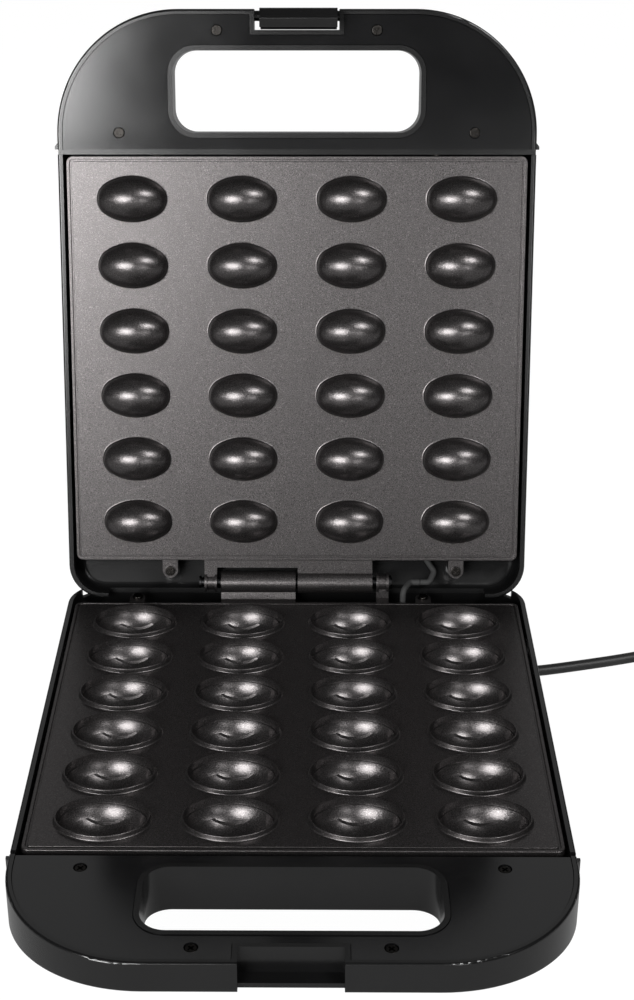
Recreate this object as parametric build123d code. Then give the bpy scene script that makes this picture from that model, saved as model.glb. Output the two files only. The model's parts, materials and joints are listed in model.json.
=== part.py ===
from build123d import *
import math
import os

# An electric nut cookie maker with its lid open. Millimetres, +Z up, +Y to the back,
# the table at z = 0 and the middle of the open machine's footprint at the origin.
# Each half is drawn as a tub that opens upwards, with the plane where the halves meet
# at z = 0. The base is moved up to its height, and the lid is turned over and swung open.

# Plates
plate_width = 228.0
plate_depth = 206.3
plate_thick = 3.0
plate_corner = 3.5
plate_edge_round = 0.45
plate_face_height = 48.0
closed_gap = 2.6
rear_edge_y = 91.6
columns = 4
rows = 6
column_pitch = 54.44
row_pitch = 32.88
lip_width = 1.7
groove_width = 0.9
groove_depth = 0.7
groove_round = 0.25

# Cups and domes: halves of nut shapes that lie along X
cup_length = 39.7
cup_radius = 14.15
cup_end_radius = 11.0
cup_wall = 2.4
cup_ledge = 0.5
cup_ledge_depth = 3.6
panel_reach = 12.6
panel_extra = 0.65
panel_half_width = 9.0
panel_end_width = 7.6
panel_edge_depth = 10.3
panel_draft = 24.0
collar_height = 2.3
collar_base = 1.0
collar_land = 0.55
collar_round = 0.3
collar_fillet = 0.7
dome_length = 34.0
dome_radius = 10.9
dome_end_radius = 8.6
dome_wall = 2.6
dome_fillet = 0.8

# Hinge
hinge_back = 12.2
hinge_up = 5.2
open_angle = 103.84
barrel_radius = 5.75
barrel_start = 0.6
barrel_end = 39.2
lug_start = 41.4
lug_end = 47.8
lug_radius = 4.0
lug_flange_radius = 5.1
lug_flange_thick = 1.2
pin_radius = 2.5
pin_running_gap = 0.05
pin_half_length = 49.6
clip_thick = 1.0
clip_radius = 3.7
pin_head_radius = 3.2
pin_head_thick = 1.0
web_thick = 3.4
web_drop_base = 2.0
web_drop_lid = 0.35
tab_drop = 0.35
web_reach = 3.9
tab_far_x = 82.5
tab_near_x = 65.6
tab_back = 5.6
tab_radius = 3.9

# Casings
plate_gap = 1.5
base_rear = 19.0
lid_rear = 20.2
base_rear_corner = 19.0
lid_rear_corner = 17.5
lid_rear_depth = 13.5
lid_slope_start = 45.0
joint_gap = 3.1
handle_reach = 67.1
front_corner = 60.0
rim_gap = 0.9
wall = 2.5
base_depth = 41.3
lid_depth = 38.0
bottom_round = 7.0
handle_round = 1.0
rim_round = 1.1
slope_behind = 21.4
slope_ahead = 6.6
handle_root_depth = 23.3
handle_front_depth = 15.3
rear_rim_drop = 4.4
rear_drop_margin = 6.0
lid_notch_margin = 20.0
lid_notch_depth = 10.4
ring_mark_inset = 18.0
ring_mark_back = 8.3
ring_mark_radius = 3.5
nub_proud = 1.4
nub_length = 4.5

# Handle window, cover and latch recess
window_half_width = 60.8
window_behind_joint = 8.1
window_depth = 39.5
window_corner = 11.0
window_wall = 2.4
cover_gap = 0.25
cover_thick = 2.2
cover_sunk = 0.5
cover_seat = 0.3
notch_half_width = 20.8
notch_depth = 9.9
notch_wall = 2.2
notch_floor_depth = 6.4
notch_floor_thick = 1.8
screw_wide_inset = 30.5
screw_inner_x = 39.0
screw_inner_back = 0.1
screw_head_radius = 2.6
screw_head_height = 1.3
screw_head_sunk = 0.35
screw_shank_radius = 1.45
cross_width = 0.75
cross_length = 3.2
cross_depth = 0.8
boss_radius = 3.8
cover_screw_length = 10.0
tab_screw_length = 12.0
front_screw_x = 0.0
front_screw_back = 14.3
front_screw_length = 14.0
joint_screw_x = 70.0
joint_screw_z = 12.0
joint_screw_length = 8.0

# Latch
latch_left = 17.7
latch_right = 19.5
latch_pin_inset = 3.1
latch_pin_height = 8.6
latch_pin_radius = 1.5
latch_boss_radius = 2.5
latch_stem = 3.2
latch_top = 12.2
latch_swing_gap = 0.35
latch_side_gap = 0.25
latch_hook_gap = 0.35
latch_hook_reach = 5.8
latch_hook_thick = 3.0
latch_ridge = 5.2

# Heaters, shields and small electrical parts
heater_radius = 3.2
heater_gap = 0.1
heater_rear = 24.0
heater_front_back = 34.3
heater_tail = 6.0
shield_thick = 0.6
shield_inset = 3.0
shield_corner = 14.0
shield_post_radius = 3.0
shield_post_inset = 14.0
shield_post_rear = 14.0
shield_post_back = 23.4
thermostat_radius = 8.0
thermostat_height = 9.0
thermostat_shift = 0.85
fuse_radius = 2.0
fuse_length = 26.0
lamp_radius = 4.0
lamp_x = 9.0
lamp_back = 38.3
lens_proud = 1.2
neon_length = 12.0
sleeve_radius = 1.5

# Feet and the cord's outlet
foot_inset = 24.0
foot_rear = -9.5
foot_back = 40.3
foot_radius = 6.8
pad_radius = 5.8
pad_height = 2.6
pad_recess = 0.8
pocket_x0 = 58.0
pocket_y0 = -2.5
pocket_y1 = 11.5
pocket_depth = 9.0
relief_y = 4.0
relief_z = 10.8
relief_inside = 4.0
relief_collar = 5.4
relief_large = 4.3
relief_small = 3.5
relief_tip_x = 78.0
cord_diameter = 5.6
plug_length = 31.0
plug_width = 25.0
plug_height = 17.6
plug_neck = 24.0
plug_neck_start = 3.3
plug_neck_end = 5.2
blade_length = 16.0
blade_width = 6.3
blade_thick = 1.5
blade_pitch = 12.7
coil_radius = 34.0
coil_pitch = 6.2
coil_low_z = 3.7
coil_layer = 6.2
coil_turns_low = 3
coil_turns_high = 4
coil_tail = 16.8
tie_width = 6.0
tie_thick = 0.6
tie_slack = 0.3

# Derived places
parting_height = plate_face_height + closed_gap / 2
face_z = -closed_gap / 2
rim_z = -rim_gap
first_row = (plate_depth - (rows - 1) * row_pitch) / 2
case_width = plate_width + 2 * (plate_gap + wall)
joint_y = plate_depth + joint_gap
case_front = joint_y + handle_reach
slope_rear = joint_y - slope_behind
slope_front = joint_y + slope_ahead
window_rear = joint_y + window_behind_joint
window_front = window_rear + window_depth
notch_rear = case_front - notch_depth
notch_floor_front = notch_rear + notch_floor_depth
front_screw_y = plate_depth - front_screw_back
latch_pin_y = case_front - latch_pin_inset
latch_back = case_front - latch_stem
thermostat_y = plate_depth / 2 + thermostat_shift
lamp_y = plate_depth - lamp_back
rear_y = rear_edge_y + base_rear
front_y = rear_edge_y - case_front
hinge_y = rear_edge_y + hinge_back
hinge_z = plate_face_height + hinge_up
hinge_in_base = hinge_up - closed_gap / 2
hinge_in_lid = -(hinge_up - closed_gap / 2)
half_width = case_width / 2
rear_drop_half_width = half_width - rear_drop_margin
lid_notch_half_width = half_width - lid_notch_margin
screw_wide_x = half_width - screw_wide_inset
shield_post_x = half_width - shield_post_inset
foot_x = half_width - foot_inset
cover_top_z = rim_z - cover_sunk
cup_axis_z = face_z + collar_height
cup_bottom = cup_axis_z - cup_radius - cup_wall


def place(y):
    """Y of a point that lies y in front of the plates' rear edges."""
    return rear_edge_y - y


def box(x0, x1, y0, y1, z0, z1):
    made = Box(abs(x1 - x0), abs(y1 - y0), abs(z1 - z0))
    return Pos((x0 + x1) / 2, (y0 + y1) / 2, (z0 + z1) / 2) * made


def rod(x, y, z0, z1, radius):
    return Pos(x, y, (z0 + z1) / 2) * Cylinder(radius, abs(z1 - z0))


def rod_x(x0, x1, y, z, radius):
    return Pos((x0 + x1) / 2, y, z) * Rot(0, 90, 0) * Cylinder(radius, abs(x1 - x0))


def rod_y(x, y0, y1, z, radius):
    return Pos(x, (y0 + y1) / 2, z) * Rot(90, 0, 0) * Cylinder(radius, abs(y1 - y0))


def to_base(shape):
    return Pos(0, 0, parting_height) * shape


def to_lid_closed(shape):
    return Pos(0, 0, parting_height) * mirror(shape, about=Plane.XY)


def swing_open(shape):
    return shape.rotate(Axis((0, hinge_y, hinge_z), (1, 0, 0)), -open_angle)


def to_lid(shape):
    return swing_open(to_lid_closed(shape))


def half_nut_face(length, radius, end_radius):
    """Half of an oval above the X axis: two end arcs and a long arc over the middle."""
    a = length / 2
    side = (a * a + radius * radius - 2 * a * end_radius) / (2 * (radius - end_radius))
    centre = a - end_radius
    turn = math.atan2(side - radius, centre)
    end = (centre + end_radius * math.cos(turn), end_radius * math.sin(turn))
    mid = (centre + end_radius * math.cos(turn / 2), end_radius * math.sin(turn / 2))
    right = ThreePointArc((a, 0), mid, end)
    top = ThreePointArc(end, (0, radius), (-end[0], end[1]))
    left = ThreePointArc((-end[0], end[1]), (-mid[0], mid[1]), (-a, 0))
    return make_face(right + top + left + Line((-a, 0), (a, 0)))


def nut(length, radius, end_radius):
    return revolve(half_nut_face(length, radius, end_radius), Axis.X, 360)


def oval(length, radius, end_radius):
    upper = half_nut_face(length, radius, end_radius)
    return upper + mirror(upper, about=Plane.XZ)


def cup_floor_depth(x):
    """Depth of the cup's lower part below its axis, at x from its middle."""
    length = cup_length - 2 * cup_ledge
    radius = cup_radius - cup_ledge
    end = cup_end_radius - cup_ledge
    a = length / 2
    top = (a * a + radius * radius - 2 * a * end) / (2 * (radius - end))
    return radius - top + math.sqrt(top * top - x * x)


def panel_outline(z):
    """Plan of the deeper panel at height z, narrower further down."""
    shift = (z + panel_edge_depth) * math.tan(math.radians(panel_draft))
    middle = panel_half_width + shift
    end = panel_end_width + shift
    reach = panel_reach
    upper = ThreePointArc((-reach, end), (0, middle), (reach, end))
    lower = ThreePointArc((reach, -end), (0, -middle), (-reach, -end))
    sides = Line((reach, end), (reach, -end)) + Line((-reach, -end), (-reach, end))
    return (Pos(0, 0, z) * make_face(upper + lower + sides)).faces()[0]


def cup_hollow():
    """Inside of one cup: the rim's part, a narrower part below a ledge, and a deeper panel."""
    reach = cup_length
    rim = nut(cup_length, cup_radius, cup_end_radius)
    rim &= box(-reach, reach, -reach, reach, -cup_ledge_depth, reach)
    low = nut(cup_length - 2 * cup_ledge, cup_radius - cup_ledge, cup_end_radius - cup_ledge)
    tip = cup_floor_depth(panel_reach)
    deep = cup_radius - cup_ledge + panel_extra
    arc = ThreePointArc((-panel_reach, tip), (0, deep), (panel_reach, tip))
    sides = Polyline((panel_reach, tip), (panel_reach, 0), (-panel_reach, 0), (-panel_reach, tip))
    spindle = revolve(make_face(arc + sides), Axis.X, 360)
    prism = loft([panel_outline(2.0 - panel_edge_depth), panel_outline(-deep - 1)], ruled=True)
    return rim + low + (spindle & prism)


def foot_edges(unit, length, radius):
    """Edges where a raised form meets the disc under it at z = 0."""
    found = []
    for edge in unit.edges():
        size = edge.bounding_box()
        wide = max(abs(size.min.X), abs(size.max.X))
        deep = max(abs(size.min.Y), abs(size.max.Y))
        flat = max(abs(size.min.Z), abs(size.max.Z)) < 0.001
        if flat and wide < length / 2 + 0.2 and deep < radius + 0.2:
            found.append(edge)
    return found


def raised_disc(length, radius, end_radius, reach):
    """A thin oval disc with its top at z = 0, on which a raised form stands."""
    plan = oval(length + 2 * reach, radius + reach, end_radius + reach)
    return extrude(Pos(0, 0, -plate_thick / 2) * plan, plate_thick / 2)


def collar():
    """Raised rim round a cup, rounded at its foot and its top."""
    grow = collar_base
    foot = oval(cup_length + 2 * grow, cup_radius + grow, cup_end_radius + grow)
    land = collar_land
    top = oval(cup_length + 2 * land, cup_radius + land, cup_end_radius + land)
    rim = loft([foot.faces()[0], (Pos(0, 0, collar_height) * top).faces()[0]], ruled=True)
    reach = collar_base + collar_fillet + 0.8
    unit = raised_disc(cup_length, cup_radius, cup_end_radius, reach) + rim
    unit = fillet(foot_edges(unit, cup_length + 2 * grow, cup_radius + grow), collar_fillet)
    return fillet(unit.edges().group_by(Axis.Z)[-1], collar_round)


def dome():
    """One raised dome, rounded at its foot."""
    half = dome_length
    shape = nut(dome_length, dome_radius, dome_end_radius) & box(-half, half, -half, half, 0, half)
    unit = raised_disc(dome_length, dome_radius, dome_end_radius, dome_fillet + 0.8) + shape
    return fillet(foot_edges(unit, dome_length, dome_radius), dome_fillet)


def cell_places():
    first_x = -(columns - 1) / 2 * column_pitch
    for row in range(rows):
        for column in range(columns):
            yield first_x + column * column_pitch, place(first_row + row * row_pitch)


def plate_sheet():
    """The flat plate in its half's frame, face up, with its edge lip and groove."""
    outline = RectangleRounded(plate_width, plate_depth, plate_corner)
    sheet = extrude(outline, plate_thick)
    sheet = fillet(sheet.edges().group_by(Axis.Z)[-1], plate_edge_round)
    outer = plate_corner - lip_width
    groove = RectangleRounded(plate_width - 2 * lip_width, plate_depth - 2 * lip_width, outer)
    inset = 2 * (lip_width + groove_width)
    island = RectangleRounded(plate_width - inset, plate_depth - inset, outer - groove_width / 2)
    cut = extrude(groove - island, groove_depth)
    sheet -= Pos(0, 0, plate_thick - groove_depth) * cut
    top = sheet.edges().group_by(Axis.Z)[-1]
    reach = plate_width / 2 - plate_edge_round - 0.1
    inner = []
    for edge in top:
        size = edge.bounding_box()
        if size.max.X < reach and size.min.X > -reach:
            inner.append(edge)
    sheet = fillet(inner, groove_round)
    return Pos(0, place(plate_depth / 2), face_z - plate_thick) * sheet


def hinge_parts(side, axis_z, pin_hole):
    """Barrel, lug, web and screw tabs behind a plate. side is 1 for the base, -1 for the lid."""
    y = rear_edge_y + hinge_back
    barrel_a = -side * barrel_start
    barrel_b = -side * barrel_end
    lug_a = side * lug_start
    lug_b = side * lug_end
    top = face_z - (web_drop_base if side > 0 else web_drop_lid)
    low = top - web_thick
    barrel = rod_x(barrel_a, barrel_b, y, axis_z, barrel_radius)
    lug = rod_x(lug_a, lug_b, y, axis_z, lug_radius)
    web = box(-side * barrel_end, lug_b, rear_edge_y - 1.5, rear_edge_y + web_reach, low, top)
    arm = hinge_arm(barrel_a, barrel_b, y, axis_z, low, top, barrel_radius)
    lug_arm = hinge_arm(lug_a, lug_b, y, axis_z, low, top, lug_radius)
    parts = barrel + lug + web + arm + lug_arm
    for x in (lug_a, lug_b - side * lug_flange_thick):
        parts += rod_x(x, x + side * lug_flange_thick, y, axis_z, lug_flange_radius)
    top = face_z - tab_drop
    low = top - web_thick
    for x in (-side * tab_far_x, side * tab_near_x):
        pad = rod(x, rear_edge_y + tab_back, low, top, tab_radius)
        stem = box(x - tab_radius, x + tab_radius, rear_edge_y - 1.5, rear_edge_y + tab_back, low, top)
        hole = rod(x, rear_edge_y + tab_back, low - 1, top + 1, screw_shank_radius + 0.15)
        parts += pad + stem - hole
    return parts - rod_x(-pin_half_length, pin_half_length, y, axis_z, pin_hole)


def hinge_arm(x0, x1, y, axis_z, low, top, radius):
    """The cast arm from a plate's rear edge round to a barrel."""
    if axis_z > 0:
        points = [(rear_edge_y - 1.5, low), (y, low), (y + radius * 0.6, axis_z - radius * 0.6)]
        points += [(y, axis_z), (y - radius * 0.75, axis_z - radius * 0.66)]
        points += [(y - radius * 0.95, top), (rear_edge_y - 1.5, top)]
    else:
        points = [(rear_edge_y - 1.5, low), (y - radius * 0.7, low), (y, axis_z)]
        points += [(y - radius * 0.7, top), (rear_edge_y - 1.5, top)]
    face = make_face(Polyline(*points, close=True))
    placed = Plane(origin=(min(x0, x1), 0, 0), x_dir=(0, 1, 0), z_dir=(1, 0, 0)) * face
    return extrude(placed, abs(x1 - x0))


def fixing_boss():
    """Cast boss under a plate between two columns, where its front screw bites."""
    y = place(front_screw_y)
    solid = rod(front_screw_x, y, face_z - plate_thick - 11.0, face_z - plate_thick + 0.5, 4.2)
    hole = rod(front_screw_x, y, face_z - plate_thick - 12.0, face_z - plate_thick, screw_shank_radius)
    return solid, hole


def lower_plate():
    rim = Pos(0, 0, face_z) * collar()
    body = nut(cup_length + 2 * cup_wall, cup_radius + cup_wall, cup_end_radius + cup_wall)
    reach = cup_length
    lower = box(-reach, reach, -reach, reach, -reach, face_z - cup_axis_z - 1)
    body = Pos(0, 0, cup_axis_z) * (body & lower)
    hollow = Pos(0, 0, cup_axis_z) * cup_hollow()
    boss, boss_hole = fixing_boss()
    added = [boss]
    taken = [boss_hole]
    for x, y in cell_places():
        added += [Pos(x, y, 0) * rim, Pos(x, y, 0) * body]
        taken.append(Pos(x, y, 0) * hollow)
    plate = plate_sheet() + hinge_parts(1, hinge_in_base, pin_radius)
    return to_base(plate + added - taken)


def upper_plate():
    one = Pos(0, 0, face_z) * dome()
    inner_radius = dome_radius - dome_wall
    hollow = nut(dome_length - 2 * dome_wall, inner_radius, dome_end_radius - dome_wall)
    hollow = Pos(0, 0, face_z) * hollow
    hollow += Pos(0, 0, face_z - plate_thick - 1) * extrude(
        oval(dome_length - 2 * dome_wall, inner_radius, dome_end_radius - dome_wall), plate_thick + 1
    )
    boss, boss_hole = fixing_boss()
    added = [boss]
    taken = [boss_hole]
    for x, y in cell_places():
        added.append(Pos(x, y, 0) * one)
        taken.append(Pos(x, y, 0) * hollow)
    plate = plate_sheet() + hinge_parts(-1, hinge_in_lid, pin_radius + pin_running_gap)
    return to_lid(plate + added - taken)


def case_outline(inset, side):
    """Plan of a casing, moved inwards by inset. side is 1 for the base, -1 for the lid."""
    rear_place = rear_edge_y + (base_rear if side > 0 else lid_rear)
    corner = base_rear_corner if side > 0 else lid_rear_corner
    length = rear_place - front_y - 2 * inset
    plan = Pos(0, (rear_place + front_y) / 2) * Rectangle(case_width - 2 * inset, length)
    rear = plan.vertices().group_by(Axis.Y)[-1]
    plan = fillet(rear, corner - inset)
    front = plan.vertices().group_by(Axis.Y)[0]
    return fillet(front, front_corner - inset)


def underside_points(depth, inset, side, top):
    """Side view of a casing: full depth, the slope up to the handle, and the handle."""
    bottom = -depth + inset
    slope = math.atan2(depth - handle_root_depth, slope_front - slope_rear)
    rise = math.atan2(handle_root_depth - handle_front_depth, case_front - slope_front)
    shift = inset * math.tan(slope / 2)
    turn = inset * math.tan((slope - rise) / 2)
    rear_place = rear_edge_y + (base_rear if side > 0 else lid_rear)
    points = [(rear_place + 1, bottom)]
    if side < 0:
        fall = math.atan2(depth - lid_rear_depth, lid_rear + lid_slope_start)
        lifted = inset / math.cos(fall)
        back = (depth - lid_rear_depth + lifted - inset) / math.tan(fall)
        points = [(rear_place + 1, -lid_rear_depth + lifted + math.tan(fall))]
        points.append((rear_place - back, bottom))
    points.append((place(slope_rear) + shift, bottom))
    root = place(slope_front) + inset * math.sin(rise) + turn * math.cos(rise)
    root_z = -handle_root_depth + inset * math.cos(rise) + turn * math.sin(rise)
    points.append((root, root_z))
    reach = case_front - slope_front + 5
    points.append((root - reach, root_z + reach * math.tan(rise)))
    return points + [(root - reach, top + 1), (rear_place + 1, top + 1)]


def lower_edges(block, depth, in_front):
    """Edges round the underside of the body, or of the slope and handle in front of it."""
    found = []
    for face in block.faces():
        if face.normal_at().Z > -0.3:
            continue
        for edge in face.edges():
            middle = edge.center()
            across = edge.bounding_box().size.X > case_width / 2
            behind = middle.Y > place(slope_rear) + 1
            ahead = middle.Y < place(slope_rear) - 1 and middle.Z > bottom_round - depth
            if not in_front and behind and not (across and middle.Y < rear_edge_y - 5):
                found.append(edge)
            if in_front and ahead and not (across and middle.Y > front_y + 20):
                found.append(edge)
    return found


def case_block(depth, inset, top, side):
    """A solid casing: the plan drawn down to its underside, with rounded lower edges."""
    bottom = -depth + inset
    block = extrude(Pos(0, 0, bottom) * case_outline(inset, side), top - bottom)
    view = make_face(Polyline(*underside_points(depth, inset, side, top), close=True))
    sheet = Plane(origin=(-half_width - 1, 0, 0), x_dir=(0, 1, 0), z_dir=(1, 0, 0)) * view
    block &= extrude(sheet, case_width + 2)
    block = fillet(lower_edges(block, depth, False), max(bottom_round - inset, 1.0))
    return fillet(lower_edges(block, depth, True), max(handle_round - inset, 0.5))


def outer_block(depth, side):
    block = case_block(depth, 0, rim_z, side)
    top = block.edges().group_by(Axis.Z)[-1]
    return fillet(top, rim_round)


def handle_region(gap):
    """Everything in front of the joint between body and handle."""
    return box(-half_width - 9, half_width + 9, front_y - 9, place(joint_y + gap), -60, 9)


def window_outline(grow):
    width = 2 * (window_half_width + grow)
    depth = window_front - window_rear + 2 * grow
    middle = place((window_rear + window_front) / 2)
    return Pos(0, middle) * RectangleRounded(width, depth, window_corner + grow)


def window_block(grow):
    return extrude(Pos(0, 0, -60) * window_outline(grow), 70)


def notch_block(grow, bottom):
    reach = notch_half_width + grow
    return box(-reach, reach, front_y - 5, place(notch_rear - grow), bottom, 5)


def cover_screw_places():
    for side in (-1, 1):
        yield side * screw_wide_x, place(window_rear)
        yield side * screw_inner_x, place(notch_rear - screw_inner_back)


def joint_screw_places():
    return [-joint_screw_x, joint_screw_x]


def handle_shell(depth, side_sign):
    """Handle shell of one half: outer wall, underside, window tube, recess frame and bosses."""
    region = handle_region(0)
    outer = outer_block(depth, side_sign) & region
    for side in (-1, 1):
        x = side * half_width
        ramp = [(x - side, place(joint_y)), (x + side * nub_proud, place(joint_y))]
        ramp += [(x + side * nub_proud, place(joint_y + 1.5)), (x - side, place(joint_y + nub_length))]
        rib = make_face(Polyline(*ramp, close=True))
        outer += extrude(Pos(0, 0, -handle_front_depth) * rib, handle_front_depth + rim_z - rim_round)
    hollow = case_block(depth, wall, 9, side_sign) & handle_region(-1)
    cover_low = cover_top_z - cover_thick
    bosses = [rod(x, y, -60, cover_low, boss_radius) for x, y in cover_screw_places()]
    for x in joint_screw_places():
        bosses.append(rod_y(x, place(joint_y), place(joint_y + 8), -joint_screw_z, boss_radius))
    end_wall = box(-half_width, half_width, place(joint_y), place(joint_y + wall), -60, cover_low)
    kept = [window_block(window_wall), notch_block(notch_wall, -60), end_wall]
    shell = outer - (hollow - kept - bosses)
    shell -= window_block(0)
    if side_sign > 0:
        floor_z = -handle_front_depth + notch_floor_thick
        shell -= notch_block(0, floor_z)
        shell -= box(-notch_half_width, notch_half_width, front_y - 5, place(notch_floor_front), -60, 5)
    else:
        shell -= notch_block(0, -60)
    for x, y in cover_screw_places():
        shell -= rod(x, y, cover_low - cover_screw_length, 5, screw_shank_radius)
    end = place(joint_y + joint_screw_length)
    for x in joint_screw_places():
        shell -= rod_y(x, place(joint_y), end, -joint_screw_z, screw_shank_radius)
    return shell


def handle_cover():
    """The panel that closes a handle, sunk a little below the casing's rim."""
    low = cover_top_z - cover_thick
    plan = case_outline(wall + cover_gap, 1)
    panel = extrude(Pos(0, 0, low) * plan, cover_thick) & handle_region(cover_seat)
    panel -= window_block(window_wall + cover_gap)
    panel -= notch_block(notch_wall + cover_gap, -60)
    for x, y in cover_screw_places():
        panel -= rod(x, y, low - 1, cover_top_z + 1, screw_shank_radius + 0.2)
        sunk = screw_head_height + screw_head_sunk
        panel -= rod(x, y, cover_top_z - sunk, cover_top_z + 1, screw_head_radius + 0.35)
    return panel


def screw(head_radius, head_height, length, shank_radius):
    """A cross-head screw pointing down, the top of its head at z = 0."""
    head = Pos(0, 0, -head_height / 2) * Cylinder(head_radius, head_height)
    top = head.edges().group_by(Axis.Z)[-1]
    head = fillet(top, min(0.5, head_height / 3))
    for turn in (0, 90):
        arm = Box(cross_length, cross_width, 2 * cross_depth)
        head -= Rot(0, 0, turn + 45) * arm
    return head + Pos(0, 0, -head_height - length / 2) * Cylinder(shank_radius, length)


def cover_screws():
    z = cover_top_z - screw_head_sunk
    length = cover_screw_length + cover_thick - screw_head_height - screw_head_sunk - 0.5
    one = screw(screw_head_radius, screw_head_height, length, screw_shank_radius)
    return Compound(children=[Pos(x, y, z) * one for x, y in cover_screw_places()])


def joint_screws():
    """Screws through the body's front wall into the handle shell."""
    one = screw(screw_head_radius + 0.6, 1.6, joint_screw_length - 0.5 + wall, screw_shank_radius)
    turned = Rot(-90, 0, 0) * one
    y = place(joint_y) + wall + 1.6
    return Compound(children=[Pos(x, y, -joint_screw_z) * turned for x in joint_screw_places()])


def plate_screws(side):
    """The two rear tab screws that the photo shows behind a plate."""
    top = face_z - tab_drop + screw_head_height
    one = screw(screw_head_radius, screw_head_height, tab_screw_length, screw_shank_radius)
    y = rear_edge_y + tab_back
    return Compound(children=[Pos(x, y, top) * one for x in (-side * tab_far_x, side * tab_near_x)])


def front_plate_screw(depth):
    """The screw that comes through the casing and holds a plate near its front."""
    head_z = front_seat_z()
    length = front_screw_length
    one = screw(screw_head_radius + 0.8, 2.0, length, screw_shank_radius)
    flipped = Rot(180, 0, 0) * one
    return Pos(front_screw_x, place(front_screw_y), head_z - 2.0) * flipped


def front_seat_z():
    """Underside of the pillar's ledge on which the front screw's head sits."""
    return face_z - plate_thick - 11.0 - 4.0


def shield_top(side):
    """Height of a heat shield's upper face in its half's frame."""
    heater_top = cup_bottom if side > 0 else face_z - plate_thick
    return heater_top - heater_gap - 2 * heater_radius - heater_gap


def body_shell(depth, side):
    """Body tub of one half, with its front wall, pillars and posts."""
    keep = box(-half_width - 9, half_width + 9, place(joint_y), rear_y + 9, -60, 9)
    outer = outer_block(depth, side) & keep
    inside = box(-half_width, half_width, place(joint_y) + wall, rear_y + 9, -60, 9)
    hollow = case_block(depth, wall, 9, side) & inside
    posts = []
    for x in (-side * tab_far_x, side * tab_near_x):
        posts.append(rod(x, rear_edge_y + tab_back, -60, face_z - tab_drop - web_thick, tab_radius))
    for x in (-shield_post_x, shield_post_x):
        for y in (shield_post_rear, joint_y - shield_post_back):
            posts.append(rod(x, place(y), -60, shield_top(side) - shield_thick, shield_post_radius))
    pillar_top = face_z - plate_thick - 11.0
    posts.append(rod(front_screw_x, place(front_screw_y), -60, pillar_top, 6.5))
    shell = outer - (hollow - posts)
    for x in (-side * tab_far_x, side * tab_near_x):
        low = face_z - tab_drop - tab_screw_length - 0.5
        shell -= rod(x, rear_edge_y + tab_back, low, 5, screw_shank_radius)
    y = place(front_screw_y)
    shell -= rod(front_screw_x, y, -60, 5, screw_shank_radius + 0.15)
    shell -= rod(front_screw_x, y, -60, front_seat_z(), 4.2)
    for x in joint_screw_places():
        end = place(joint_y - wall - 1)
        shell -= rod_y(x, place(joint_y + 1), end, -joint_screw_z, screw_shank_radius + 0.1)
    shell -= box(-half_width, half_width, place(joint_y + 1), place(joint_y - wall), -4.0, 9)
    groove = case_block(depth, wall - 0.3, 0, side)
    for x in (ring_mark_inset - half_width, half_width - ring_mark_inset):
        ring = rod(x, rear_edge_y + ring_mark_back, -depth, -1, ring_mark_radius)
        ring -= rod(x, rear_edge_y + ring_mark_back, -60, 9, ring_mark_radius - 0.4)
        shell -= ring & groove
    return shell


def base_shell():
    shell = body_shell(base_depth, 1)
    drop = rim_z - rear_rim_drop
    reach = rear_drop_half_width
    shell -= box(-reach, reach, rear_edge_y + 4, rear_y + 5, drop, 9)
    ground = -parting_height
    for x, y in foot_places():
        foot = rod(x, y, ground + pad_height - pad_recess, -base_depth + wall, foot_radius)
        shell += foot
        shell -= rod(x, y, ground, ground + pad_height, pad_radius + 0.1)
    ceiling = -base_depth + pocket_depth
    y0 = place(pocket_y0)
    y1 = place(pocket_y1)
    roof = box(pocket_x0 - wall, half_width - 1.2, y0 + wall, y1 - wall, -base_depth, ceiling + wall)
    shell += roof & case_block(base_depth, 0.6, 9, 1)
    shell -= box(pocket_x0, half_width + 5, y0, y1, -60, ceiling)
    hole_x = pocket_x0 - relief_inside - 0.2
    shell -= rod_x(hole_x, pocket_x0 + 1, place(relief_y), relief_z - parting_height, relief_large)
    for x in range(-50, 51, 10):
        slot = Pos(x, place(100), -base_depth) * extrude(SlotOverall(36, 3.2, rotation=90), 9, both=True)
        shell -= slot
    return to_base(shell)


def lid_shell():
    shell = body_shell(lid_depth, -1)
    reach = lid_notch_half_width
    shell -= box(-reach, reach, rear_edge_y + 4, rear_y + 5, -lid_notch_depth, 9)
    for x in (-lamp_x, lamp_x):
        shell -= rod(x, place(lamp_y), -lid_depth - 1, -lid_depth + wall + 1, lamp_radius)
    return to_lid(shell)


def foot_places():
    for x in (-foot_x, foot_x):
        for y in (foot_rear, plate_depth - foot_back):
            yield x, place(y)


def rubber_feet():
    one = Pos(0, 0, pad_height / 2) * Cylinder(pad_radius, pad_height)
    one = fillet(one.edges().group_by(Axis.Z)[0], 0.6)
    return Compound(children=[Pos(x, y, 0) * one for x, y in foot_places()])


def heater_line(z):
    """Centre line of a heater: four runs under the columns, joined by three half turns."""
    x = column_pitch / 2
    rear = place(heater_rear)
    front = place(plate_depth - heater_front_back)
    tail = place(heater_tail)
    lines = Line((-3 * x, tail, z), (-3 * x, front, z))
    lines += ThreePointArc((-3 * x, front, z), (-2 * x, front - x, z), (-x, front, z))
    lines += Line((-x, front, z), (-x, rear - x, z))
    lines += ThreePointArc((-x, rear - x, z), (0, rear, z), (x, rear - x, z))
    lines += Line((x, rear - x, z), (x, front, z))
    lines += ThreePointArc((x, front, z), (2 * x, front - x, z), (3 * x, front, z))
    return lines + Line((3 * x, front, z), (3 * x, tail, z))


def heating_element(side):
    top = cup_bottom if side > 0 else face_z - plate_thick
    z = top - heater_gap - heater_radius
    path = heater_line(z)
    start = Plane(origin=path @ 0, z_dir=path % 0)
    return sweep(start * Circle(heater_radius), path=path)


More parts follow.
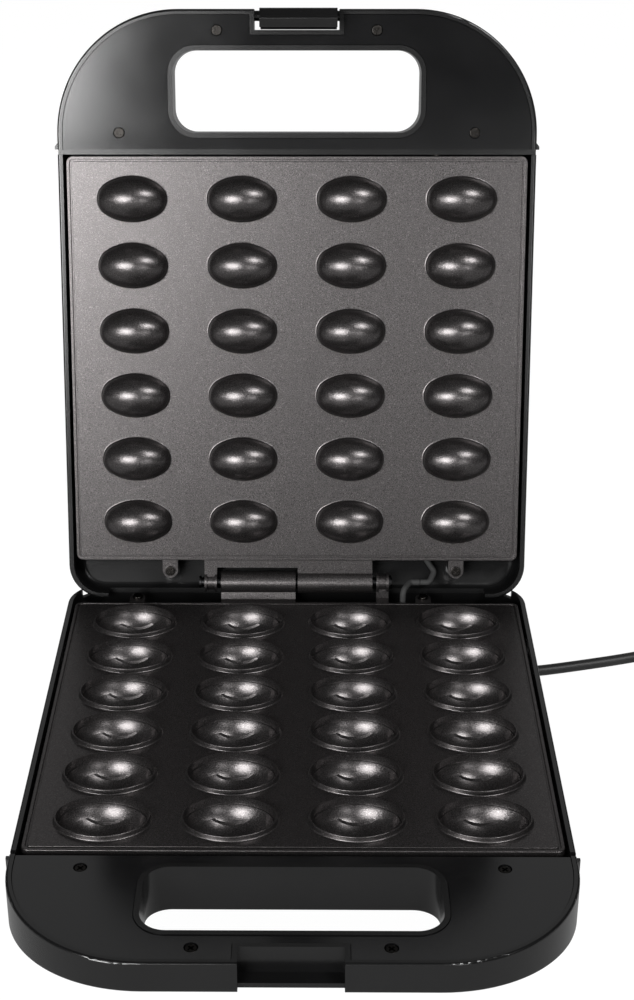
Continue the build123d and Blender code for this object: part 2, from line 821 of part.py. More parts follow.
def heat_shield(side):
    """Flat bright tray under a heater, resting on four posts, with a hole for the pillar."""
    inset = wall + shield_inset
    width = case_width - 2 * inset
    y0 = place(joint_y - wall - 3.0)
    y1 = rear_edge_y + 1.0
    plan = Pos(0, (y0 + y1) / 2) * RectangleRounded(width, y1 - y0, shield_corner)
    top = shield_top(side)
    sheet = extrude(Pos(0, 0, top - shield_thick) * plan, shield_thick)
    sheet -= rod(front_screw_x, place(front_screw_y), -60, 9, 6.9)
    return sheet - rod(0, place(thermostat_y), -60, 9, thermostat_radius + 1)


def thermostat(side):
    """Bimetal disc thermostat with two blade terminals, against its plate or boss."""
    top = cup_bottom if side > 0 else face_z - plate_thick
    top -= heater_gap
    y = place(thermostat_y)
    can = rod(0, y, top - thermostat_height, top, thermostat_radius)
    low = top - thermostat_height
    for shift in (-4, 4):
        can += box(shift - 0.4, shift + 0.4, y - 3, y + 3, low - 6, low + 1)
    return can


def thermostat_strap(side):
    """Spring strap across a shield's hole that presses the thermostat to its plate."""
    y = place(thermostat_y)
    plate_side = cup_bottom if side > 0 else face_z - plate_thick
    top = plate_side - heater_gap - thermostat_height
    strap = box(-14, 14, y - 4, y + 4, top - 0.8, top - 0.05)
    strap -= box(-5.5, 5.5, y - 3.4, y + 3.4, top - 2, top + 1)
    z = shield_top(side) - shield_thick
    for x in (-14, 13.2):
        strap += box(x, x + 0.8, y - 4, y + 4, top - 0.8, z - 0.02)
    return strap


def tube(points, radii, radius):
    path = FilletPolyline(*points, radius=radii)
    start = Plane(origin=path @ 0, z_dir=path % 0)
    return sweep(start * Circle(radius), path=path)


def sleeve_in_base():
    """Heat-proof sleeve that takes the lid's wires up to the hinge axis."""
    z = hinge_z
    points = [(20.1, place(6), 18), (30, place(6), 18), (46, place(-1), 18)]
    points += [(55, place(-3.6), 23), (55, place(-3.6), z), (59, hinge_y, z), (64, hinge_y, z)]
    return tube(points, [5, 5, 3, 3, 2.5], sleeve_radius)


def sleeve_in_lid():
    """The lid's end of the sleeve, in line with the hinge axis, turning with the lid."""
    z = hinge_z
    points = [(64.4, hinge_y, z), (69, hinge_y, z), (72, rear_edge_y + 8, z + 6)]
    points += [(66, place(0), z + 10.6), (30, place(40), z + 17)]
    return swing_open(tube(points, [2.5, 3.5, 8], sleeve_radius))


def terminal_block():
    """Three-way block on the base's floor."""
    floor = parting_height - base_depth + wall
    block = box(4, 20, place(22), place(2), floor, floor + 13)
    for y in (5, 12, 19):
        block -= rod(12, place(y), floor + 8, floor + 14, 1.8)
    return block


def mains_tail():
    """The cord's inner end, from the strain relief to the terminal block."""
    z = parting_height - base_depth + wall + 3.2
    x = pocket_x0 - relief_inside
    points = [(x - 0.05, place(relief_y), z), (x - 10, place(relief_y), z)]
    points += [(32, place(17), z), (20.1, place(17), z)]
    return tube(points, [6, 6], 2.4)


def thermal_fuse():
    """Small axial fuse clamped on the upper heat shield."""
    z = parting_height - shield_top(-1) + shield_thick + fuse_radius + 0.05
    body = rod_x(-fuse_length / 2, fuse_length / 2, place(60), z, fuse_radius)
    for x in (-fuse_length / 2 - 4, fuse_length / 2):
        body += rod_x(x, x + 4, place(60), z, 0.7)
    return swing_open(body)


def lamp_lens(side):
    """Round lens pushed into the lid's outer face."""
    x = side * lamp_x
    y = place(lamp_y)
    lens = rod(x, y, -lid_depth - lens_proud, -lid_depth + wall + 0.8, lamp_radius - 0.05)
    lens = fillet(lens.edges().group_by(Axis.Z)[0], 0.9)
    lens += rod(x, y, -lid_depth + wall, -lid_depth + wall + 0.8, lamp_radius + 1.2)
    lens -= rod(x, y, -lid_depth + 0.6, 9, lamp_radius - 1.2)
    return to_lid(lens)


def neon_lamps():
    """Two neon bulbs standing in their lenses."""
    y = place(lamp_y)
    z0 = -lid_depth + 0.9
    bulbs = [rod(x, y, z0, z0 + neon_length, 2.5) for x in (-lamp_x, lamp_x)]
    return to_lid(Compound(children=bulbs))


def hinge_pin():
    pin = rod_x(-pin_half_length, pin_half_length, hinge_y, hinge_z, pin_radius)
    end = -pin_half_length - pin_head_thick
    head = rod_x(end, -pin_half_length, hinge_y, hinge_z, pin_head_radius)
    return pin + head - clip_groove()


def clip_groove():
    x = pin_half_length - 1.6
    ring = rod_x(x, x + clip_thick, hinge_y, hinge_z, pin_radius + 1)
    return ring - rod_x(x - 1, x + clip_thick + 1, hinge_y, hinge_z, pin_radius - 0.5)


def hinge_clip():
    """Spring clip in the groove near the pin's right end."""
    x = pin_half_length - 1.6
    ring = rod_x(x + 0.05, x + clip_thick - 0.05, hinge_y, hinge_z, clip_radius)
    ring -= rod_x(x - 1, x + clip_thick + 1, hinge_y, hinge_z, pin_radius - 0.45)
    opening = box(x - 1, x + clip_thick + 1, hinge_y - 1.6, hinge_y + 1.6, hinge_z - 9, hinge_z)
    return ring - opening


def latch_outline():
    """Side view of the latch in the closed lid, as (y, height above the meeting plane)."""
    tip_y = latch_back - latch_hook_reach
    rise = (handle_root_depth - handle_front_depth) / (case_front - slope_front)
    base_under = -handle_front_depth - (case_front - tip_y) * rise
    hook_top = base_under - latch_hook_gap
    hook_low = hook_top - latch_hook_thick
    front = place(case_front)
    stem = place(latch_back)
    tip = place(tip_y)
    swing = latch_pin_y - notch_rear - latch_swing_gap
    back = place(latch_pin_y) + swing
    rise_up = latch_top - latch_pin_height
    top_back = place(latch_pin_y) + math.sqrt(swing**2 - rise_up**2)
    mid_back = place(latch_pin_y) + math.sqrt(swing**2 - (rise_up / 2) ** 2)
    points = [(front + 0.8, latch_top), (top_back, latch_top)]
    points += [(mid_back, latch_pin_height + rise_up / 2), (back, latch_pin_height)]
    points += [(back, latch_pin_height - 6.0), (stem, latch_pin_height - 9.6), (stem, hook_top)]
    points += [(tip, hook_top), (tip, hook_top - 1.4), (front + latch_ridge, hook_low)]
    points += [(front + latch_ridge - 0.5, hook_low), (front + 0.4, hook_low + 2.4)]
    points += [(front, hook_low + 3.4), (front, latch_top - 0.8)]
    return points


def latch():
    face = make_face(Polyline(*latch_outline(), close=True))
    plane = Plane(origin=(-latch_left, 0, 0), x_dir=(0, 1, 0), z_dir=(1, 0, 0))
    body = extrude(plane * face, latch_left + latch_right)
    y = place(latch_pin_y)
    body -= rod_x(-30, 30, y, latch_pin_height, latch_pin_radius + pin_running_gap)
    return swing_open(Pos(0, 0, parting_height) * body)


def latch_pin():
    y = place(latch_pin_y)
    reach = notch_half_width + notch_wall - 0.2
    pin = rod_x(-reach, reach, y, latch_pin_height, latch_pin_radius)
    return swing_open(Pos(0, 0, parting_height) * pin)


def lid_handle_shell():
    shell = handle_shell(lid_depth, -1)
    y = place(latch_pin_y)
    z = -latch_pin_height
    edge = notch_half_width + 0.5
    shell += rod_x(-latch_left - latch_side_gap, -edge, y, z, latch_boss_radius)
    shell += rod_x(latch_right + latch_side_gap, edge, y, z, latch_boss_radius)
    reach = notch_half_width + notch_wall - 0.2
    shell -= rod_x(-reach, reach, y, z, latch_pin_radius)
    return to_lid(shell)


def strain_relief():
    """Bush in the outlet's wall with a tapered sleeve for the cord."""
    y = place(relief_y)
    inner = pocket_x0 - relief_inside
    floor = parting_height - base_depth + wall
    collar = rod_x(inner, pocket_x0 - wall - 0.05, y, relief_z, relief_collar)
    collar -= box(0, pocket_x0, y - 9, y + 9, 0, floor + 0.05)
    through = rod_x(inner, pocket_x0 + 0.05, y, relief_z, relief_large - 0.05)
    outer = rod_x(pocket_x0 + 0.05, pocket_x0 + 2.0, y, relief_z, relief_collar)
    big = Plane(origin=(pocket_x0 + 1.5, y, relief_z), z_dir=(1, 0, 0)) * Circle(relief_large)
    small = Plane(origin=(relief_tip_x, y, relief_z), z_dir=(1, 0, 0)) * Circle(relief_small)
    cone = loft([big.faces()[0], small.faces()[0]], ruled=True)
    return collar + through + outer + cone


def cord_points():
    """Route of the cord's free stretch, from the strain relief to the coil."""
    return [
        (relief_tip_x, place(relief_y), relief_z),
        (92.0, place(relief_y), relief_z),
        (108.0, place(0.6), 6.4),
        (124.0, place(-4.4), 3.4),
        (146.0, place(-10.4), 2.9),
        (176.0, place(-18.5), 2.9),
        (199.0, place(-25.4), coil_low_z),
        (213.0, place(-28.6), coil_low_z),
    ]


def corner_radii(points):
    """Radius of the arc at each corner: as large as its two runs allow."""
    radii = []
    for before, here, after in zip(points, points[1:], points[2:]):
        first = Vector(here) - Vector(before)
        second = Vector(after) - Vector(here)
        turn = math.radians(first.get_angle(second))
        radii.append(0.45 * min(first.length, second.length) / math.tan(turn / 2))
    return radii


def power_cord():
    points = cord_points()
    radii = corner_radii(points)
    print("cord radii", [round(r, 1) for r in radii])
    cord = tube(points, radii, cord_diameter / 2)
    path = FilletPolyline(*points, radius=radii)
    section = math.pi * cord_diameter**2 / 4
    ratio = cord.volume / (section * path.length)
    print("cord length", round(path.length, 1), "volume ratio", round(ratio, 4))
    return cord


def coil_edges():
    """Two piled layers: half turns spiral in, climb on the innermost, and spiral out."""
    points = [Vector(*p) for p in cord_points()]
    start = points[-1]
    ahead = points[-1] - points[-2]
    ahead = Vector(ahead.X, ahead.Y, 0).normalized()
    edges = [Line(start, start + ahead * cord_diameter)]
    here = start + ahead * cord_diameter
    steps = [(coil_radius - i * coil_pitch / 2, 0) for i in range(coil_turns_low)]
    steps.append((coil_radius - coil_turns_low * coil_pitch / 2, coil_layer))
    inner = coil_radius - coil_turns_low * coil_pitch / 2
    steps += [(inner + (i + 1) * coil_pitch / 2, 0) for i in range(coil_turns_high)]
    for radius, climb in steps:
        across = Vector(ahead.Y, -ahead.X, 0)
        end = here + across * (2 * radius) + Vector(0, 0, climb)
        reach = (end - here).length / 2
        middle = (here + ahead * reach + end + ahead * reach) * 0.5
        edges.append(TangentArc(here, middle, tangent=ahead))
        edges.append(TangentArc(middle, end, tangent=edges[-1] % 1))
        here = end
        ahead = ahead * -1
    edges.append(Line(here, here + ahead * coil_tail))
    return edges, here + ahead * coil_tail, ahead


def cord_coil():
    edges, _, _ = coil_edges()
    path = Wire(edges)
    start = Plane(origin=path @ 0, z_dir=path % 0)
    made = sweep(start * Circle(cord_diameter / 2), path=path)
    count = 900
    step = path.length / count
    points = [path @ (i / count) for i in range(count + 1)]
    away = int(3 * cord_diameter / step)
    least = min(
        (points[i] - points[j]).length
        for i in range(0, count + 1, 3)
        for j in range(i + away, count + 1)
    )
    section = math.pi * cord_diameter**2 / 4
    print("coil length", round(path.length, 1), "least gap", round(least - cord_diameter, 2))
    print("coil volume ratio", round(made.volume / (section * path.length), 4))
    return made


def cord_tie():
    """Strap round the coil on the side away from where the cord comes in."""
    start = Vector(*cord_points()[-1])
    ahead = start - Vector(*cord_points()[-2])
    ahead = Vector(ahead.X, ahead.Y, 0).normalized()
    across = Vector(ahead.Y, -ahead.X, 0)
    first = start + ahead * cord_diameter
    width = 2 * coil_pitch + cord_diameter + 4 * tie_slack
    height = coil_layer + cord_diameter + 2 * tie_slack
    centre = first + across * (2 * coil_radius)
    centre = Vector(centre.X, centre.Y, coil_low_z + coil_layer / 2)
    plane = Plane(origin=centre - ahead * (tie_width / 2), x_dir=across, z_dir=ahead)
    ring = RectangleRounded(width + 2 * tie_thick, height + 2 * tie_thick, 2.6 + tie_thick)
    ring -= RectangleRounded(width, height, 2.6)
    return extrude(plane * ring, tie_width)


def plug_frame():
    """Where the plug starts and which way it points, at the coil's outer end."""
    _, end, ahead = coil_edges()
    return Plane(origin=end, x_dir=Vector(-ahead.Y, ahead.X, 0), z_dir=ahead)


def plug_body():
    """Tapered neck and flat-sided body of the moulded plug, lying on the table."""
    frame = plug_frame()
    far = Pos(0, 0, plug_neck) * Circle(plug_neck_end)
    neck = loft([Circle(plug_neck_start).face(), far.face()], ruled=True)
    shift = plug_height / 2 - Vector(frame.origin).Z
    body = Pos(0, shift, plug_neck) * extrude(RectangleRounded(plug_width, plug_height, 5.0), plug_length)
    body = fillet(body.edges().group_by(Axis.Z)[0], 2.5)
    return frame * (neck + body)


def plug_blades():
    frame = plug_frame()
    shift = plug_height / 2 - Vector(frame.origin).Z
    blades = []
    for side in (-1, 1):
        blade = Box(blade_thick, blade_width, blade_length)
        tip = blade.edges().group_by(Axis.Z)[-1]
        blade = chamfer(tip, 0.4)
        far = plug_neck + plug_length + blade_length / 2
        blades.append(Pos(side * blade_pitch / 2, shift, far) * blade)
    return Compound(children=[frame * blade for blade in blades])


os.makedirs("parts", exist_ok=True)
nodes = {
    "base_shell": base_shell(),
    "base_handle_shell": to_base(handle_shell(base_depth, 1)),
    "base_handle_cover": to_base(handle_cover()),
    "base_cover_screws": to_base(cover_screws()),
    "base_joint_screws": to_base(joint_screws()),
    "lower_plate": lower_plate(),
    "lower_plate_tab_screws": to_base(plate_screws(1)),
    "lower_plate_front_screw": to_base(front_plate_screw(base_depth)),
    "lower_heating_element": to_base(heating_element(1)),
    "lower_heat_shield": to_base(heat_shield(1)),
    "lower_thermostat": to_base(thermostat(1)),
    "lower_thermostat_strap": to_base(thermostat_strap(1)),
    "terminal_block": terminal_block(),
    "mains_tail": mains_tail(),
    "wire_sleeve_base": sleeve_in_base(),
    "rubber_feet": rubber_feet(),
    "hinge_pin": hinge_pin(),
    "hinge_clip": hinge_clip(),
    "lid_shell": lid_shell(),
    "lid_handle_shell": lid_handle_shell(),
    "lid_handle_cover": to_lid(handle_cover()),
    "lid_cover_screws": to_lid(cover_screws()),
    "lid_joint_screws": to_lid(joint_screws()),
    "upper_plate": upper_plate(),
    "upper_plate_tab_screws": to_lid(plate_screws(-1)),
    "upper_plate_front_screw": to_lid(front_plate_screw(lid_depth)),
    "upper_heating_element": to_lid(heating_element(-1)),
    "upper_heat_shield": to_lid(heat_shield(-1)),
    "upper_thermostat": to_lid(thermostat(-1)),
    "upper_thermostat_strap": to_lid(thermostat_strap(-1)),
    "thermal_fuse": thermal_fuse(),
    "wire_sleeve_lid": sleeve_in_lid(),
    "power_lamp_lens": lamp_lens(-1),
    "ready_lamp_lens": lamp_lens(1),
    "neon_lamps": neon_lamps(),
    "latch": latch(),
    "latch_pin": latch_pin(),
    "strain_relief": strain_relief(),
    "power_cord": power_cord(),
    "cord_coil": cord_coil(),
    "cord_tie": cord_tie(),
    "plug_body": plug_body(),
    "plug_blades": plug_blades(),
}
for name, shape in nodes.items():
    export_step(shape, f"parts/{name}.step")
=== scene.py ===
import bpy
import json
import math
from mathutils import Matrix, Vector


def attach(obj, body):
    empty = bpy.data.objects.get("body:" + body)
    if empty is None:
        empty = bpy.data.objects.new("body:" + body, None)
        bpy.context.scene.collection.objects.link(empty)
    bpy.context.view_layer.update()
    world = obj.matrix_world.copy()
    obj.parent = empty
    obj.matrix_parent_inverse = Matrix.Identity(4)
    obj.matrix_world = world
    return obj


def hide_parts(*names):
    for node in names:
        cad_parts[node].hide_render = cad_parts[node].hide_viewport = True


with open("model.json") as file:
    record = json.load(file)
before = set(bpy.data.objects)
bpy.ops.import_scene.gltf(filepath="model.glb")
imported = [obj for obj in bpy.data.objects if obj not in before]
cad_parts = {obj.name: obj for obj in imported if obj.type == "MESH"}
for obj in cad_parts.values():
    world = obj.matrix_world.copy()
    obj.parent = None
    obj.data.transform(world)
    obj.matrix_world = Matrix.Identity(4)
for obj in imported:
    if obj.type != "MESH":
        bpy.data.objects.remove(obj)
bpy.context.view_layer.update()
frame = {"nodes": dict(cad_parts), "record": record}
nodes = frame["nodes"]
bpy.ops.object.select_all(action="DESELECT")
print("frame loaded:", len(nodes), "nodes")


# camera, fitted to the outlines of the plates and casing
photoView = {
    "place": (0.00709, -0.73649, 0.52849),
    "pitchDown": 0.4705,
    "yaw": -0.009,
    "roll": -0.002,
    "focalPixels": 1851.0,
    "axisPixel": 295.6,     # column of the view axis
    "width": 634,
    "height": 1000,
    "sensor": 36,           # mm along the long side
    "clipStart": 0.01,
}


def addCamera(view):
    pitch, yaw, roll = view["pitchDown"], view["yaw"], view["roll"]
    level = Vector((math.sin(yaw), math.cos(yaw), 0))
    ahead = level * math.cos(pitch) - Vector((0, 0, math.sin(pitch)))
    right = Vector((math.cos(yaw), -math.sin(yaw), 0))
    up = right.cross(ahead)
    rolledRight = right * math.cos(roll) + up * math.sin(roll)
    rolledUp = -right * math.sin(roll) + up * math.cos(roll)
    turn = Matrix((rolledRight, rolledUp, -ahead)).transposed().to_4x4()
    data = bpy.data.cameras.new("photoCamera")
    data.sensor_fit = "AUTO"
    data.sensor_width = view["sensor"]
    data.lens = view["focalPixels"] / view["height"] * data.sensor_width
    data.shift_x = (view["width"] / 2 - view["axisPixel"]) / view["height"]
    data.clip_start = view["clipStart"]
    cam = bpy.data.objects.new("photoCamera", data)
    bpy.context.scene.collection.objects.link(cam)
    cam.matrix_world = Matrix.Translation(view["place"]) @ turn
    bpy.context.scene.camera = cam


addCamera(photoView)
print("camera placed")


# cord: the free stretch and its put-away coil are one spline
cordFacts = {
    "diameter": 0.0056,
    "length": 0.935,
    "route": [
        (0.078, 0.0876, 0.0108),
        (0.092, 0.0876, 0.0108),
        (0.108, 0.091, 0.0064),
        (0.124, 0.096, 0.0034),
        (0.146, 0.102, 0.0029),
        (0.176, 0.1101, 0.0029),
        (0.199, 0.117, 0.0037),
        (0.213, 0.1202, 0.0037),
    ],
    "coilRadius": 0.034,
    "coilPitch": 0.0062,
    "layerRise": 0.0062,
    "turnsIn": 3,
    "turnsOut": 4,
    "pointsPerHalfTurn": 8,
    "tail": 0.0168,
    "tailBend": 0.3,        # share of the tail before its one bend point
    "lineSteps": 6,
    "roundSteps": 5,
}


def coilPoints(facts):
    last, before = Vector(facts["route"][-1]), Vector(facts["route"][-2])
    ahead = last - before
    ahead.z = 0
    ahead.normalize()
    here = last + ahead * facts["diameter"]
    points = [here.copy()]
    step = facts["coilPitch"] / 2
    inner = facts["coilRadius"] - facts["turnsIn"] * step
    turns = [(facts["coilRadius"] - i * step, 0) for i in range(facts["turnsIn"])]
    turns.append((inner, facts["layerRise"]))
    turns += [(inner + (i + 1) * step, 0) for i in range(facts["turnsOut"])]
    count = facts["pointsPerHalfTurn"]
    spread = 1 / math.cos(math.pi / count / 2)     # the spline runs inside its points
    for radius, rise in turns:
        across = Vector((ahead.y, -ahead.x, 0))
        centre = here + across * radius
        for k in range(count):
            angle = (k + 0.5) / count * math.pi
            out = -across * math.cos(angle) + ahead * math.sin(angle)
            lift = rise * (1 - math.cos(angle)) / 2
            points.append(centre + out * radius * spread + Vector((0, 0, lift)))
        here = here + across * 2 * radius + Vector((0, 0, rise))
        ahead = -ahead
    points.append(here + ahead * facts["tail"] * facts["tailBend"])
    points.append(here + ahead * facts["tail"])
    return points


def makeCord(facts):
    curve = bpy.data.curves.new("mainsCord", "CURVE")
    curve.dimensions = "3D"
    line = curve.splines.new("NURBS")
    points = [Vector(p) for p in facts["route"]] + coilPoints(facts)
    line.points.add(len(points) - 1)
    for spot, p in zip(line.points, points):
        spot.co = (p.x, p.y, p.z, 1)
    line.order_u = 3
    line.use_endpoint_u = True
    line.resolution_u = facts["lineSteps"]
    guide = bpy.data.objects.new("cordGuide", curve)
    bpy.context.scene.collection.objects.link(guide)
    thread = bpy.data.meshes.new_from_object(guide)     # no bevel yet, so only the line
    path = [tuple(v.co) for v in thread.vertices]
    curve.bevel_depth = facts["diameter"] / 2
    curve.bevel_resolution = facts["roundSteps"]
    curve.use_fill_caps = True
    tube = bpy.data.meshes.new_from_object(guide)
    tube.name = "mainsCord"
    cord = bpy.data.objects.new("mainsCord", tube)
    bpy.context.scene.collection.objects.link(cord)
    bpy.data.objects.remove(guide)
    bpy.data.curves.remove(curve)
    bpy.data.meshes.remove(thread)
    return cord, path


cord, cordPath = makeCord(cordFacts)
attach(cord, "base")
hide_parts("power_cord", "cord_coil")
print("cord laid")


# materials, all on object coordinates; sizes in metres
def startMaterial(name, colour, roughness, metallic=0.0):
    mat = bpy.data.materials.new(name)
    mat.use_nodes = True
    tree = mat.node_tree
    shader = tree.nodes["Principled BSDF"]
    shader.inputs["Base Color"].default_value = (*colour, 1)
    shader.inputs["Roughness"].default_value = roughness
    shader.inputs["Metallic"].default_value = metallic
    coords = tree.nodes.new("ShaderNodeTexCoord")
    return mat, tree, shader, coords.outputs["Object"]


def addNoise(tree, coords, size, detail=2.0, roughness=0.5):
    noise = tree.nodes.new("ShaderNodeTexNoise")
    noise.inputs["Scale"].default_value = 1 / size
    noise.inputs["Detail"].default_value = detail
    noise.inputs["Roughness"].default_value = roughness
    tree.links.new(coords, noise.inputs["Vector"])
    return noise.outputs["Fac"]


def addRange(tree, value, low, high, newLow, newHigh):
    span = tree.nodes.new("ShaderNodeMapRange")
    limits = {"From Min": low, "From Max": high, "To Min": newLow, "To Max": newHigh}
    for name, number in limits.items():
        span.inputs[name].default_value = number
    tree.links.new(value, span.inputs["Value"])
    return span.outputs["Result"]


def addMix(tree, factor, first, second):
    mix = tree.nodes.new("ShaderNodeMix")
    mix.data_type = "RGBA"
    for socket, colour in ((mix.inputs["A"], first), (mix.inputs["B"], second)):
        if isinstance(colour, tuple):
            socket.default_value = (*colour, 1)
        else:
            tree.links.new(colour, socket)
    tree.links.new(factor, mix.inputs["Factor"])
    return mix.outputs["Result"]


def addMaths(tree, operation, first, second):
    maths = tree.nodes.new("ShaderNodeMath")
    maths.operation = operation
    for socket, value in zip(maths.inputs, (first, second)):
        if isinstance(value, (int, float)):
            socket.default_value = value
        else:
            tree.links.new(value, socket)
    return maths.outputs[0]


def addBump(tree, shader, height, depth, strength):
    bump = tree.nodes.new("ShaderNodeBump")
    bump.inputs["Distance"].default_value = depth
    bump.inputs["Strength"].default_value = strength
    tree.links.new(height, bump.inputs["Height"])
    tree.links.new(bump.outputs["Normal"], shader.inputs["Normal"])


noiseSpan = (0.3, 0.7)      # nearly all of a noise's values lie in here


def roughenBy(tree, shader, noise, roughness, below, above):
    low, high = noiseSpan
    rough = addRange(tree, noise, low, high, roughness - below, roughness + above)
    tree.links.new(rough, shader.inputs["Roughness"])


casingLook = {
    "colour": (0.003, 0.003, 0.0031),
    "worn": (0.005, 0.005, 0.0051),
    "roughness": 0.21,
}
coverLook = {
    "colour": (0.003, 0.003, 0.0032),
    "worn": (0.005, 0.005, 0.0053),
    "roughness": 0.13,
}
plasticFacts = {
    "patch": 0.03,          # size of the worn patches
    "smoother": 0.015,
    "rougher": 0.02,
    "grain": 0.0006,
    "depth": 0.00002,
    "bump": 0.4,
}


def makePlastic(name, look, facts=plasticFacts):
    mat, tree, shader, coords = startMaterial(name, look["colour"], look["roughness"])
    patches = addNoise(tree, coords, facts["patch"], 4, 0.6)
    shade = addMix(tree, patches, look["colour"], look["worn"])
    tree.links.new(shade, shader.inputs["Base Color"])
    roughenBy(tree, shader, patches, look["roughness"], facts["smoother"], facts["rougher"])
    grain = addNoise(tree, coords, facts["grain"], 2)
    addBump(tree, shader, grain, facts["depth"], facts["bump"])
    return mat


plateLook = {
    "dark": (0.075, 0.07, 0.07),
    "light": (0.24, 0.225, 0.223),
    "metallic": 0.92,
    "roughness": 0.3,
    "uneven": 0.05,
    "grain": 0.00045,
    "fleck": (0.52, 0.75),  # grain values over which a fleck comes up
    "depth": 0.00005,
    "bump": 0.7,
}


def makeNonStick(name, look):
    mat, tree, shader, coords = startMaterial(
        name, look["dark"], look["roughness"], look["metallic"]
    )
    grain = addNoise(tree, coords, look["grain"], 3, 0.7)
    fleck = addRange(tree, grain, *look["fleck"], 0, 1)
    shade = addMix(tree, fleck, look["dark"], look["light"])
    tree.links.new(shade, shader.inputs["Base Color"])
    roughenBy(tree, shader, grain, look["roughness"], look["uneven"], look["uneven"])
    addBump(tree, shader, grain, look["depth"], look["bump"])
    return mat


def makeMetal(name, colour, roughness, grain=0.0008, depth=0.00002):
    mat, tree, shader, coords = startMaterial(name, colour, roughness, 1.0)
    speck = addNoise(tree, coords, grain, 3)
    dull = tuple(c * 0.7 for c in colour)
    shade = addMix(tree, speck, dull, colour)
    tree.links.new(shade, shader.inputs["Base Color"])
    roughenBy(tree, shader, speck, roughness, 0.06, 0.1)
    addBump(tree, shader, speck, depth, 0.5)
    return mat


def makeSoft(name, colour, roughness, grain=0.0012, depth=0.00004):
    mat, tree, shader, coords = startMaterial(name, colour, roughness)
    speck = addNoise(tree, coords, grain, 3)
    pale = tuple(c * 1.5 + 0.004 for c in colour)
    shade = addMix(tree, speck, colour, pale)
    tree.links.new(shade, shader.inputs["Base Color"])
    addBump(tree, shader, speck, depth, 0.6)
    return mat


def makeLens(name, colour):
    mat, tree, shader, coords = startMaterial(name, colour, 0.12)
    ripple = addNoise(tree, coords, 0.002, 2)
    shade = addMix(tree, ripple, colour, tuple(c * 0.6 for c in colour))
    tree.links.new(shade, shader.inputs["Base Color"])
    shader.inputs["Transmission Weight"].default_value = 0.35
    shader.inputs["Coat Weight"].default_value = 0.4
    addBump(tree, shader, ripple, 0.00005, 0.4)
    return mat


looks = {
    "casing_plastic": makePlastic("casingPlastic", casingLook),
    "cover_plastic": makePlastic("coverPlastic", coverLook),
    "nonstick_plate": makeNonStick("nonStickCoat", plateLook),
    "screw_steel": makeMetal("screwSteel", (0.03, 0.028, 0.026), 0.28),
    "pin_steel": makeMetal("pinSteel", (0.03, 0.03, 0.031), 0.3),
    "shield_metal": makeMetal("shieldSheet", (0.78, 0.78, 0.78), 0.3, 0.004),
    "heater_sheath": makeMetal("heaterSheath", (0.25, 0.23, 0.21), 0.45),
    "wire_sleeve": makeSoft("glassSleeve", (0.015, 0.015, 0.015), 0.8, 0.0006, 0.0001),
    "terminal_plastic": makeSoft("terminalPlastic", (0.75, 0.73, 0.66), 0.5),
    "thermostat_body": makeSoft("thermostatBody", (0.09, 0.05, 0.035), 0.35),
    "foot_rubber": makeSoft("footRubber", (0.02, 0.02, 0.02), 0.75),
    "cord_rubber": makeSoft("cordRubber", (0.012, 0.012, 0.012), 0.45, 0.0015),
    "red_lens": makeLens("redLens", (0.6, 0.03, 0.02)),
    "green_lens": makeLens("greenLens", (0.03, 0.45, 0.08)),
    "lamp_glass": makeLens("lampGlass", (0.85, 0.84, 0.8)),
    "blade_brass": makeMetal("bladeMetal", (0.72, 0.68, 0.58), 0.25),
}


def dress(obj, mat):
    if not obj.material_slots:
        obj.data.materials.append(mat)
    for place in obj.material_slots:
        place.material = mat


slotOf = {part["node"]: part["material_slot"] for part in frame["record"]["subparts"]}
for name, node in nodes.items():
    dress(node, looks[slotOf[name]])
dress(cord, looks["cord_rubber"])
print("materials made:", len(looks))


# floor and light
floorFacts = {
    "size": 8.0,
    "colour": (0.9, 0.9, 0.9),
    "roughness": 0.9,
    "share": 0.88,          # of glow against lit paper
    "seen": 1.1,            # glow to the eye
    "mirrored": 0.36,       # and in the object's gloss
    "drop": 0.0002,         # under the feet
}


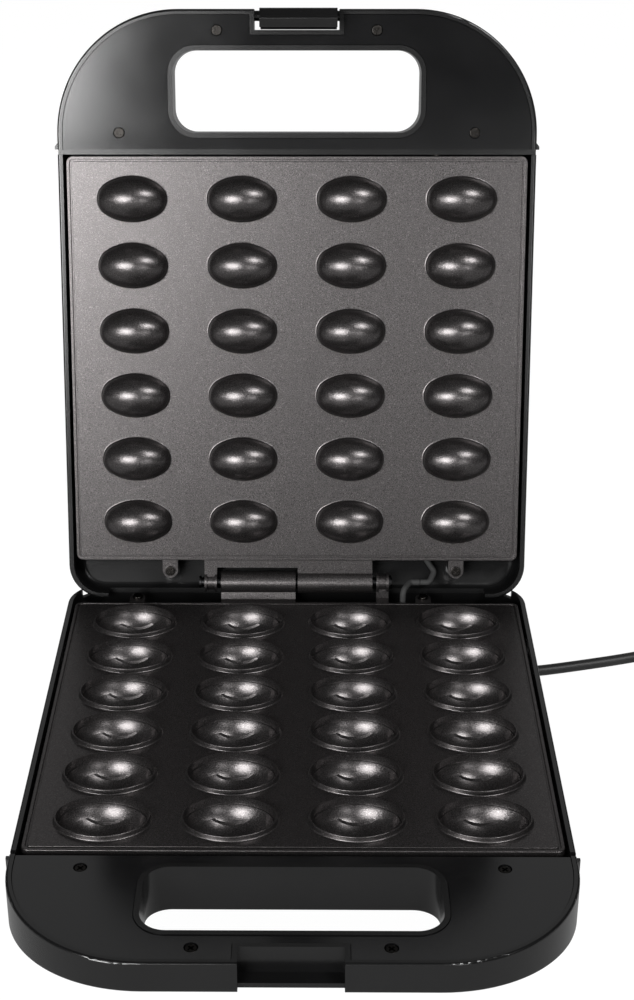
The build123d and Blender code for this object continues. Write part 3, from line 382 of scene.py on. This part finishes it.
def addFloor(facts):
    bpy.ops.mesh.primitive_plane_add(size=facts["size"], location=(0, 0, -facts["drop"]))
    floor = bpy.context.object
    floor.name = "studioFloor"
    mat, tree, shader, coords = startMaterial("floorPaper", facts["colour"], facts["roughness"])
    glow = tree.nodes.new("ShaderNodeEmission")
    glow.inputs["Color"].default_value = (1, 1, 1, 1)
    rays = tree.nodes.new("ShaderNodeLightPath")
    glossy = rays.outputs["Is Glossy Ray"]
    camera = rays.outputs["Is Camera Ray"]
    through = rays.outputs["Is Transmission Ray"]
    looked = addMaths(tree, "MAXIMUM", addMaths(tree, "MAXIMUM", camera, through), glossy)
    part = addMaths(tree, "MULTIPLY", looked, facts["share"])
    fall = addMaths(tree, "MULTIPLY", glossy, facts["seen"] - facts["mirrored"])
    tree.links.new(addMaths(tree, "SUBTRACT", facts["seen"], fall), glow.inputs["Strength"])
    blend = tree.nodes.new("ShaderNodeMixShader")
    tree.links.new(part, blend.inputs["Fac"])
    tree.links.new(shader.outputs["BSDF"], blend.inputs[1])
    tree.links.new(glow.outputs["Emission"], blend.inputs[2])
    tree.links.new(blend.outputs["Shader"], tree.nodes["Material Output"].inputs["Surface"])
    dress(floor, mat)


lampList = [
    # name, place, aimed at, width, height, power
    ("leftSoftbox", (-0.89, -1.75, 0.78), (0, 0.13, 0.2), 0.94, 0.88, 50),
    ("coverGlare", (-0.42, -1.75, 0.84), (0, 0.13, 0.25), 0.18, 0.34, 2.6),
    ("frontPanel", (0.2, -1.75, 0.42), (0, 0.13, 0.2), 1.1, 0.5, 0.7),
    ("rightSoftbox", (1.05, -1.2, 1.9), (0, 0.1, 0.15), 0.5, 0.6, 30),
    ("rightFill", (0.75, -1.9, 0.55), (0, 0.13, 0.2), 0.4, 0.5, 5),
    ("backPanel", (0, 2.2, 1.6), (0, 0, 0.05), 2.6, 1.2, 3.6),
]


def addLamp(name, place, target, width, height, power):
    data = bpy.data.lights.new(name, "AREA")
    data.shape = "RECTANGLE"
    data.size = width
    data.size_y = height
    data.energy = power
    lamp = bpy.data.objects.new(name, data)
    bpy.context.scene.collection.objects.link(lamp)
    lamp.location = place
    aim = Vector(target) - Vector(place)
    lamp.rotation_euler = aim.to_track_quat("-Z", "Y").to_euler()


# strength of the surround by kind of ray
worldFacts = {"fill": 0.04, "mirrored": 0.07, "seen": 1.0}


def setWorld(facts):
    world = bpy.data.worlds.new("studioWorld")
    bpy.context.scene.world = world
    world.use_nodes = True
    tree = world.node_tree
    back = tree.nodes["Background"]
    back.inputs["Color"].default_value = (1, 1, 1, 1)
    rays = tree.nodes.new("ShaderNodeLightPath")
    seen = addMaths(tree, "MULTIPLY", rays.outputs["Is Camera Ray"], facts["seen"])
    mirrored = addMaths(tree, "MULTIPLY", rays.outputs["Is Glossy Ray"], facts["mirrored"])
    either = addMaths(tree, "MAXIMUM", seen, mirrored)
    strength = addMaths(tree, "MAXIMUM", either, facts["fill"])
    tree.links.new(strength, back.inputs["Strength"])


addFloor(floorFacts)
for lampFacts in lampList:
    addLamp(*lampFacts)
setWorld(worldFacts)
bpy.context.scene.view_settings.view_transform = "Standard"
print("floor and lamps set")
